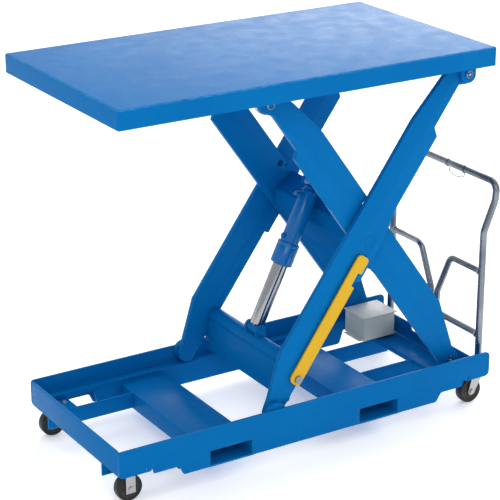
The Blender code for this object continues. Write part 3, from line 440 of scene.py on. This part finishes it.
# %% Snap rings and grease nipples
# Each row is a pin, its body, how far out its ring sits, and the ring's radius.
PINS = [("deck_pivot", "platform", 0.2715, 0.0102), ("top_roller", "inner_legs", 0.2356, 0.0110),
        ("foot", "base", 0.2356, 0.0112), ("lower_roller", "outer_legs", 0.2735, 0.0072)]
PLACE_OF_PIN = {"deck_pivot": "deck_pivot", "foot": "lift"}
RING_WIRE, THIN_WIRE = 0.0017, 0.0010
RING_EYE = [(0, -0.0012), (0.0030, -0.0012), (0.0030, 0.0012), (0, 0.0012)]
NIPPLE = [(0, 0), (0.0040, 0), (0.0040, 0.0016), (0.0022, 0.0020), (0.0017, 0.0040), (0.0024, 0.0052),
          (0.0015, 0.0062), (0, 0.0062)]
CENTRE_PIN_R, CENTRE_PIN_OUT = 0.0176, 0.2541
GREASE_CAP = [(0, 0), (0.0042, 0), (0.0036, 0.0008), (0, 0.0008)]
for side, sign in SIDES.items():
    outward = Vector((0, sign, 0))
    for pin, body, out, radius in PINS:
        where = joint_at[PLACE_OF_PIN.get(pin, f"{side}_{pin}_spin")]
        place = Vector((where.x, sign * out, where.z))
        work = bmesh.new()
        wire = THIN_WIRE if pin == "lower_roller" else RING_WIRE
        sweep(work, ring_path(place, Y_AXIS, radius, -60, 215, 40), wire, 10)
        if pin != "lower_roller":
            for angle in (-66, 221):
                eye = ring_path(place, Y_AXIS, radius - 0.0006, angle, angle + 1, 1)[0]
                spin(work, RING_EYE, eye, Y_AXIS, 16)
        piece_of(work, f"{side}_{pin}_snap_ring", body, bright_steel, "bright_steel")
        if pin in PLACE_OF_PIN:
            work = bmesh.new()
            spin(work, NIPPLE, place - outward * 0.0004, outward, 16)
            piece_of(work, f"{side}_{pin}_nipple", body, zinc, "zinc_steel")
    centre = joint_at["leg_cross"]
    work = bmesh.new()
    weld_ring(work, (centre.x, sign * CENTRE_PIN_OUT, centre.z), Y_AXIS, CENTRE_PIN_R, 0.0009, 72, 0.2)
    spin(work, GREASE_CAP, (centre.x, sign * 0.2538, centre.z), outward, 24)
    piece_of(work, f"{side}_centre_pin_weld", "outer_legs", blue_paint)
print("pins ringed")

# %% Smooth rollers
ROLLER_BORE, ROLLER_R = 0.0105, 0.0330
LANES = {"lower": (0.2555, 0.2735), "top": (0.1965, 0.2145)}
DISH = 0.0012
for side, sign in SIDES.items():
    for end, lane in LANES.items():
        body = f"{side}_{end}_roller"
        where = joint_at[f"{body}_spin"]
        low, high = sorted(sign * reach for reach in lane)
        profile = [
            (ROLLER_BORE, low), (0.0180, low), (0.0190, low + DISH), (0.0290, low + DISH), (0.0300, low),
            (0.0315, low), (ROLLER_R, low + 0.0016), (ROLLER_R, high - 0.0016), (0.0315, high),
            (0.0300, high), (0.0290, high - DISH), (0.0190, high - DISH), (0.0180, high),
            (ROLLER_BORE, high), (ROLLER_BORE, low),
        ]
        work = bmesh.new()
        spin(work, profile, (where.x, 0, where.z), Y_AXIS, 64)
        slot = slot_of[body]
        piece = piece_of(work, f"{body}_turned", body, FINISH[slot], slot, 28.0)
        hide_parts(body)
print("four rollers turned")

# %% [markdown]
# ## The hydraulic ram
# The rod is hard chromed and ground. The barrel carries a screwed gland, two port bosses and
# a banjo fitting near its closed end. Each is a profile turned about the ram's own line,
# which runs from the rod's pin to the barrel's.

# %% Find the ram's line
ROD_PIN = Vector((-0.05381, 0, 0.30395))
BARREL_PIN = Vector((0.14941, 0, 0.72797))
MOUTH = 0.2075
SPAN = (BARREL_PIN - ROD_PIN).length
CLOSED = SPAN - 0.014
up = (BARREL_PIN - ROD_PIN).normalized()
out = Vector(Y_AXIS).cross(up).normalized()


def on_ram(along, beside=0.0):
    """A place that far up the ram from the rod's pin, and that far beside its line."""
    return ROD_PIN + up * along + out * beside


print("the ram's pins are", round(SPAN, 4), "m apart")

# %% Turn the barrel and its eye
BARREL_R, BORE_R, TUBE_START = 0.028, 0.0232, MOUTH + 0.068
work = bmesh.new()
spin(work, [(0.0, CLOSED), (0.0165, CLOSED), (0.018, CLOSED - 0.0012), (0.021, CLOSED - 0.010),
            (0.0268, CLOSED - 0.0152), (BARREL_R, CLOSED - 0.018), (BARREL_R, TUBE_START),
            (BORE_R, TUBE_START), (BORE_R, CLOSED - 0.0205), (0.0, CLOSED - 0.0205)], ROD_PIN, up, 64)
spin(work, [(0.0105, -0.0225), (0.0172, -0.0225), (0.0180, -0.0217), (0.0180, 0.0217), (0.0172, 0.0225),
            (0.0105, 0.0225), (0.0105, -0.0225)], BARREL_PIN, Y_AXIS, 48)
weld_ring(work, on_ram(CLOSED - 0.0045), up, 0.0192, 0.0022, 90, 0.2)
piece = piece_of(work, "barrel_turned", "barrel", glossy_blue)
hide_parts("cylinder_barrel")

# %% Turn the gland and the rod's wiper
GLAND_R = 0.0335
work = bmesh.new()
spin(work, [(BORE_R, MOUTH + 0.004), (BORE_R, MOUTH), (0.0300, MOUTH), (0.0320, MOUTH + 0.0008),
            (GLAND_R, MOUTH + 0.0028), (GLAND_R, MOUTH + 0.0560), (0.0330, MOUTH + 0.0570),
            (0.0330, MOUTH + 0.0590), (GLAND_R, MOUTH + 0.0600), (GLAND_R, MOUTH + 0.0672),
            (0.0320, MOUTH + 0.0694), (0.0300, MOUTH + 0.0700), (0.0281, MOUTH + 0.0700),
            (0.0281, MOUTH + 0.0675), (BORE_R, MOUTH + 0.0675), (BORE_R, MOUTH + 0.004)], ROD_PIN, up, 64)
piece = piece_of(work, "gland_turned", "barrel", glossy_blue)
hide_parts("gland_collar")
work = bmesh.new()
spin(work, [(0.0226, MOUTH + 0.0010), (0.0226, MOUTH - 0.0014), (0.0255, MOUTH - 0.0016),
            (0.0262, MOUTH - 0.0004), (0.0262, MOUTH + 0.0010)], ROD_PIN, up, 64)
piece_of(work, "rod_wiper", "barrel", tyre_rubber, "caster_rubber")

# %% Turn the rod and its eye
ROD_R = 0.0225
work = bmesh.new()
spin(work, [(0, MOUTH + 0.040), (ROD_R, MOUTH + 0.040), (ROD_R, 0.0145), (0.0219, 0.0130),
            (0.0190, 0.0080), (0.0120, 0.0040), (0, 0.0040)], ROD_PIN, up, 64)
piece = piece_of(work, "rod_turned", "rod", chrome_rod, "bright_steel", 28.0)
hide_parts("piston_rod")
work = bmesh.new()
spin(work, [(0, -0.020), (0.0147, -0.020), (0.0155, -0.0192), (0.0155, 0.0192), (0.0147, 0.020),
            (0, 0.020)], ROD_PIN, Y_AXIS, 48)
piece_of(work, "rod_eye", "rod", blue_paint)
print("ram turned")

# %% Fit the ports, the banjo and the plug
BANJO_PORT, PLUG_PORT = CLOSED - 0.033, MOUTH + 0.084
BOSS_BESIDE, PORT_BESIDE = -0.0275, -0.0337
work = bmesh.new()
for along in (BANJO_PORT, PLUG_PORT):
    spin(work, [(0, -0.002), (0.0092, -0.002), (0.0092, 0.0050), (0.0080, 0.0062), (0, 0.0062)],
         on_ram(along, BOSS_BESIDE), -out, 32)
piece_of(work, "ram_port_bosses", "barrel", blue_paint)
work = bmesh.new()
port = on_ram(BANJO_PORT, PORT_BESIDE)
spin(work, [(0, 0), (0.0078, 0), (0.0078, 0.0012), (0.0066, 0.0014), (0.0066, 0.0084),
            (0.0078, 0.0086), (0.0078, 0.0096), (0, 0.0096)], port, -out, 32)
hexagon(work, port - out * 0.0096, -out, 0.0110, 0.0042)
neck = port - out * 0.0050
sweep(work, [neck + Vector((0, 0.0055, 0)) - up * 0.0005, neck + Vector((0, 0.0130, 0)) - up * 0.0015,
             neck + Vector((0, 0.0175, 0)) - up * 0.0050], 0.0036, 16)
hexagon(work, on_ram(PLUG_PORT, PORT_BESIDE), -out, 0.0090, 0.0036)
piece_of(work, "ram_fittings", "barrel", glossy_blue)

# %% Ring the barrel's pin and cap the lugs
PIN_CAP = [(0, 0), (0.0088, 0), (0.0088, 0.0012), (0.0078, 0.0020), (0.0030, 0.0020), (0, 0.0014)]
for side, sign in SIDES.items():
    work = bmesh.new()
    place = (BARREL_PIN.x, sign * 0.0379, BARREL_PIN.z)
    sweep(work, ring_path(place, Y_AXIS, 0.0104, -60, 215, 36), 0.0012, 8)
    piece_of(work, f"{side}_ram_pin_ring", "inner_legs", bright_steel, "bright_steel")
    work = bmesh.new()
    spin(work, PIN_CAP, (ROD_PIN.x, sign * 0.0385, ROD_PIN.z), (0, sign, 0), 32)
    piece_of(work, f"{side}_rod_pin_head", "outer_legs", blue_paint)
print("ram fitted")

# %% [markdown]
# ## The tow handle
# The handle is galvanised tube. Its bends are smooth, each joint has a ring of weld, and a
# wire clip hangs under the top bar.

# %% Round the corners of a path
POST_X, HANDLE_X, POST_Y, TUBE_R, LOOP_R = 0.6190, 0.6620, 0.2300, 0.0110, 0.0100
CROSSBAR_Z, LOOP_Z, HANDLE_Z = 0.213, 0.420, 0.700


def rounded_path(points, radii, steps=12):
    """A path of straight runs whose corners are arcs of the given radii."""
    path = [Vector(points[0])]
    for before, here, after, radius in zip(points, points[1:], points[2:], radii):
        here = Vector(here)
        a, b = (Vector(before) - here).normalized(), (Vector(after) - here).normalized()
        half = a.angle(b) / 2
        middle = here + (a + b).normalized() * (radius / math.sin(half))
        start = here + a * (radius / math.tan(half)) - middle
        end = here + b * (radius / math.tan(half)) - middle
        turn = start.angle(end)
        for k in range(steps + 1):
            share = k / steps
            arm = start * math.sin((1 - share) * turn) + end * math.sin(share * turn)
            path.append(middle + arm / math.sin(turn))
    return path + [Vector(points[-1])]


# %% Bend the handle's tubes
frame_points = []
for sign in (-1, 1):
    post = [(POST_X, sign * POST_Y, 0.1053), (POST_X, sign * POST_Y, 0.550),
            (HANDLE_X - 0.004, sign * POST_Y, 0.645), (HANDLE_X, sign * POST_Y, HANDLE_Z)]
    frame_points += post if sign < 0 else post[::-1]
BEND_RADII = [0.060, 0.060, 0.030, 0.030, 0.060, 0.060]
reach = POST_Y - TUBE_R + 0.0008
handle_tubes = {
    "tow_handle_frame": (rounded_path(frame_points, BEND_RADII), TUBE_R),
    "tow_handle_crossbar": ([(POST_X, -reach, CROSSBAR_Z), (POST_X, reach, CROSSBAR_Z)], TUBE_R),
}
for side, sign in SIDES.items():
    loop = [(POST_X, sign * reach, LOOP_Z), (POST_X, sign * (POST_Y - 0.153), LOOP_Z),
            (POST_X, sign * 0.016, 0.285), (POST_X, sign * 0.012, 0.2235)]
    handle_tubes[f"{side}_handle_loop"] = (rounded_path(loop, [0.035, 0.040]), LOOP_R)
for node, (path, radius) in handle_tubes.items():
    work = bmesh.new()
    sweep(work, path, radius * 0.9995, 24)
    piece = piece_of(work, f"{node}_tube", "base", bright_steel, "bright_steel", 50.0)
    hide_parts(node)

# %% Weld the handle and hang its clip
work = bmesh.new()
for sign in (-1, 1):
    for height, size in ((CROSSBAR_Z, TUBE_R), (LOOP_Z, LOOP_R)):
        place = (POST_X, sign * (POST_Y - TUBE_R - 0.0002), height)
        weld_ring(work, place, Y_AXIS, size + 0.0004, 0.0022)
    weld_ring(work, (POST_X, sign * 0.012, 0.2248), Z_AXIS, TUBE_R - 0.0004, 0.0020)
    weld_ring(work, (POST_X, sign * POST_Y, 0.1064), Z_AXIS, TUBE_R + 0.0006, 0.0024)
piece_of(work, "handle_welds", "base", zinc, "zinc_steel")
CLIP_LOW_Y, CLIP_HIGH_Y = -0.077, 0.006
work = bmesh.new()
clip = rounded_path([(HANDLE_X, CLIP_LOW_Y, 0.6905), (HANDLE_X - 0.002, -0.070, 0.672),
                     (HANDLE_X - 0.003, -0.036, 0.667), (HANDLE_X - 0.002, -0.002, 0.672),
                     (HANDLE_X, CLIP_HIGH_Y, 0.6905)], [0.012, 0.030, 0.012], 8)
sweep(work, clip, 0.0014, 10)
for y in (CLIP_LOW_Y, CLIP_HIGH_Y):
    weld_ring(work, (HANDLE_X - 0.0020, y, HANDLE_Z), Y_AXIS, TUBE_R + 0.0006, 0.0012, 36, 0.0)
piece_of(work, "handle_clip", "base", bright_steel, "bright_steel")
print("handle bent and welded")

# %% [markdown]
# ## Casters
# Each caster has a rounded rubber tyre on a moulded hub. The rigid pair and the swivelling
# pair have zinc plated forks, with a nut on each axle and four bolts in each top plate.

# %% Draw the tyre, the hub and its ribs
WHEEL_Y, WHEEL_R = 0.2390, 0.0400
TYRE = [(0.0290, -0.0125), (0.0310, -0.0140), (0.0360, -0.0140), (0.0385, -0.0128), (0.0396, -0.0095),
        (0.0400, -0.0050), (0.0400, 0.0050), (0.0396, 0.0095), (0.0385, 0.0128), (0.0360, 0.0140),
        (0.0310, 0.0140), (0.0290, 0.0125), (0.0290, -0.0125)]
HUB = [(0.0055, -0.0150), (0.0118, -0.0150), (0.0124, -0.0142), (0.0130, -0.0118), (0.0240, -0.0106),
       (0.0262, -0.0124), (0.0292, -0.0128), (0.0292, 0.0128), (0.0262, 0.0124), (0.0240, 0.0106),
       (0.0130, 0.0118), (0.0124, 0.0142), (0.0118, 0.0150), (0.0055, 0.0150), (0.0055, -0.0150)]
RIBS, RIB_AT, RIB_HALF, RIB_Y = 6, 0.0185, 0.0060, 0.0112


def add_ribs(work, middle):
    """Short round ribs on both faces of a hub."""
    for k in range(RIBS):
        angle = 2 * math.pi * k / RIBS
        radial = Vector((math.cos(angle), 0, math.sin(angle)))
        for face in (-1, 1):
            rib = middle + radial * RIB_AT + Vector((0, face * RIB_Y, 0))
            sweep(work, [rib - radial * RIB_HALF, rib + radial * RIB_HALF], 0.0016, 8)


# %% Turn the tyres and hubs
for side, sign in SIDES.items():
    for end in ("left", "right"):
        body = f"{side}_{end}_wheel"
        middle = Vector((joint_at[f"{body}_roll"].x, sign * WHEEL_Y, WHEEL_R))
        work = bmesh.new()
        spin(work, TYRE, middle, Y_AXIS, 72)
        tyre = piece_of(work, f"{body}_tyre", body, tyre_rubber, "caster_rubber", 40.0)
        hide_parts(body)
        work = bmesh.new()
        spin(work, HUB, middle, Y_AXIS, 72)
        add_ribs(work, middle)
        piece_of(work, f"{body}_hub", body, hub_plastic, "caster_rubber", 40.0)
print("four wheels turned")

# %% Nuts, races and bolts of the casters
NUT_OUT, WASHER_OUT = 0.0186, 0.0182
for side, sign in SIDES.items():
    rigid = joint_at[f"{side}_left_wheel_roll"]
    kingpin = joint_at[f"{side}_swivel_turn"]
    for end, body in (("left", "base"), ("right", f"{side}_swivel")):
        x = joint_at[f"{side}_{end}_wheel_roll"].x
        work = bmesh.new()
        for face in (-1, 1):
            y = sign * WHEEL_Y
            hexagon(work, (x, y + face * NUT_OUT, WHEEL_R), (0, face, 0), 0.0135, 0.0052)
            washer(work, (x, y + face * WASHER_OUT, WHEEL_R), (0, face, 0), 0.0086, 0.0010)
        piece_of(work, f"{side}_{end}_axle_nuts", body, zinc, "zinc_steel")
    work = bmesh.new()
    race = ring_path((kingpin.x, kingpin.y, 0.0905), Z_AXIS, 0.0256, 0, 360, 64)
    sweep(work, race, 0.0014, 10, 0.0, True)
    piece_of(work, f"{side}_swivel_race", f"{side}_swivel", zinc, "zinc_steel")
    work = bmesh.new()
    for x, half_x, half_y, top in ((rigid.x, 0.0320, 0.0215, 0.1046), (kingpin.x, 0.0190, 0.0240, 0.1050)):
        for corner_x in (x - half_x, x + half_x):
            for corner_y in (sign * WHEEL_Y - half_y, sign * WHEEL_Y + half_y):
                bolt_head(work, (corner_x, corner_y, top), Z_AXIS, 0.0095, 0.0048)
    piece_of(work, f"{side}_caster_bolts", "base", zinc, "zinc_steel")
print("casters finished")

# %% [markdown]
# ## Welds
# The base and the legs are welded up. Each seam is a bead laid a little proud of its corner,
# with the ripple that the arc leaves.

# %% Lay the beads
TUBE_TOP, HALF_TUBE = 0.1050, 0.0750
TUBE_MIDDLES = (-0.3080, 0.2075)
SIDE_IN, TRACK_IN, LEDGE_Z = 0.2743, 0.2405, 0.1216
FRONT_X, REAR_X = -0.6622, 0.5672
LEDGE_RUNS = ((-0.660, -0.385), (-0.231, 0.130), (0.284, 0.560))
CORNER_BEAD, LEDGE_BEAD = 0.0022, 0.0020
work = bmesh.new()
for sign in (-1, 1):
    for x in TUBE_MIDDLES:
        for y in (sign * TRACK_IN, sign * (SIDE_IN + 0.001)):
            bead(work, (x - HALF_TUBE, y, TUBE_TOP), (x + HALF_TUBE, y, TUBE_TOP), CORNER_BEAD)
    y = sign * (SIDE_IN - 0.0006)
    bead(work, (FRONT_X, y, 0.0960), (FRONT_X, y, 0.1700), CORNER_BEAD)
    bead(work, (REAR_X, y, 0.1080), (REAR_X, y, 0.1600), CORNER_BEAD)
    y = sign * (SIDE_IN - 0.0004)
    for x0, x1 in LEDGE_RUNS:
        bead(work, (x0, y, LEDGE_Z), (x1, y, LEDGE_Z), LEDGE_BEAD)
    y = sign * 0.2084
    bead(work, (0.477, y, 0.1056), (0.533, y, 0.1056), CORNER_BEAD)
piece_of(work, "base_welds", "base", blue_paint)
print("beads laid")

# %% [markdown]
# ## The control box
# A small steel box stands on a foot set back under it. Its lid has four screws, and a cable
# gland leaves its side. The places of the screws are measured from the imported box.

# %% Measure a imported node


def reach_of(node):
    """The lowest and the highest corner of a CAD node."""
    obj = frame["nodes"][node]
    points = [obj.matrix_world @ vert.co for vert in obj.data.vertices]
    return [Vector(pick(point[k] for point in points) for k in range(3)) for pick in (min, max)]


SCREW_INSET, FLANGE_TOP, SEATED = 0.0085, 0.0125, 0.0002
lid_low, lid_high = reach_of("control_box_lid")
box_low, box_high = reach_of("control_box")
print("the box is", round(box_high.x - box_low.x, 4), "m long with its flange")

# %% Screws, flange bolts and gland of the box
SCREW = [(0, 0), (0.0034, 0), (0.0032, 0.0010), (0.0020, 0.0018), (0.0009, 0.0018), (0, 0.0010)]
work = bmesh.new()
for x in (lid_low.x + SCREW_INSET, lid_high.x - SCREW_INSET):
    for y in (lid_low.y + SCREW_INSET, lid_high.y - SCREW_INSET):
        spin(work, SCREW, (x, y, lid_high.z - SEATED), Z_AXIS, 20)
for y in (box_low.y + 0.016, box_high.y - 0.020):
    bolt_head(work, (box_high.x - 0.0065, y, box_low.z + FLANGE_TOP - SEATED), Z_AXIS, 0.0065, 0.0030)
piece_of(work, "box_screws", "base", zinc, "zinc_steel")
GLAND_Y, GLAND_Z = 0.155, 0.150
work = bmesh.new()
spin(work, [(0, -0.001), (0.0085, -0.001), (0.0085, 0.003), (0, 0.003)], (0.534, GLAND_Y, GLAND_Z), X_AXIS, 24)
hexagon(work, (0.5368, GLAND_Y, GLAND_Z), X_AXIS, 0.0150, 0.0060)
spin(work, [(0, 0), (0.0062, 0), (0.0056, 0.0070), (0.0040, 0.0090), (0, 0.0090)],
     (0.5426, GLAND_Y, GLAND_Z), X_AXIS, 24)
piece_of(work, "box_gland", "base", hub_plastic, "caster_rubber")

# %% The two bolts beside the feet
work = bmesh.new()
for sign in (-1, 1):
    bolt_head(work, (0.4975, sign * 0.2200, 0.1215), Z_AXIS, 0.0110, 0.0060)
piece_of(work, "foot_bolts", "base", pink_zinc, "zinc_steel")
print("small parts fitted")

# %% [markdown]
# ## Studio
# A plain pale floor runs on out of sight, and large soft lamps stand round the table. The
# world is near white, so that the enamel and the chrome have something pale to reflect.


# %% Floor, world and lamps
SKY, SKY_GLOW = 0.80, 4.6


def soft_lamp(name, place, target, size, power):
    lamp = bpy.data.objects.new(name, bpy.data.lights.new(name, "AREA"))
    lamp.data.energy = power
    lamp.data.size = size
    lamp.location = place
    lamp.rotation_euler = (Vector(target) - Vector(place)).to_track_quat("-Z", "Y").to_euler()
    bpy.context.scene.collection.objects.link(lamp)


work = bmesh.new()
bmesh.ops.create_grid(work, x_segments=1, y_segments=1, size=40.0)
floor_mesh = bpy.data.meshes.new("floor")
work.to_mesh(floor_mesh)
work.free()
floor = bpy.data.objects.new("floor", floor_mesh)
bpy.context.scene.collection.objects.link(floor)
material, nodes, links, shader, place = start_finish("pale_floor", specular=0.2)
tint = spread(nodes, links, noise(nodes, links, place, 0.6), 0.0, 1.0)
pale = blend_colours(nodes, links, tint, (0.97, 0.97, 0.97), (0.94, 0.94, 0.945))
links.new(pale, shader.inputs["Base Color"])
shader.inputs["Roughness"].default_value = 0.8
shader.inputs["Emission Color"].default_value = (1.0, 1.0, 1.0, 1.0)
shader.inputs["Emission Strength"].default_value = 0.30
floor_mesh.materials.append(material)

world = bpy.data.worlds.new("studio")
bpy.context.scene.world = world
world.use_nodes = True
nodes, links = world.node_tree.nodes, world.node_tree.links
sky = nodes["Background"]
sky.inputs["Color"].default_value = (1.0, 1.0, 1.0, 1.0)
where = nodes.new("ShaderNodeTexCoord")
turn = nodes.new("ShaderNodeVectorMath")
turn.operation = "DOT_PRODUCT"
turn.inputs[1].default_value = (0.801, 0.500, 0.330)
links.new(where.outputs["Generated"], turn.inputs[0])
ramp = nodes.new("ShaderNodeMapRange")
ramp.interpolation_type = "SMOOTHSTEP"
for socket, value in (("From Min", 0.78), ("From Max", 0.97), ("To Min", SKY), ("To Max", SKY_GLOW)):
    ramp.inputs[socket].default_value = value
links.new(turn.outputs["Value"], ramp.inputs["Value"])
path = nodes.new("ShaderNodeLightPath")
choose = nodes.new("ShaderNodeMix")
links.new(path.outputs["Is Camera Ray"], choose.inputs[0])
links.new(ramp.outputs["Result"], choose.inputs[2])
choose.inputs[3].default_value = 1.0
links.new(choose.outputs[0], sky.inputs["Strength"])
soft_lamp("key_lamp", (-2.0, -4.5, 4.0), (0, 0, 0.6), 2.5, 50)
soft_lamp("floor_lamp", (0, 0, 6.0), (0, 0, 0), 4.0, 40)
print("studio ready")
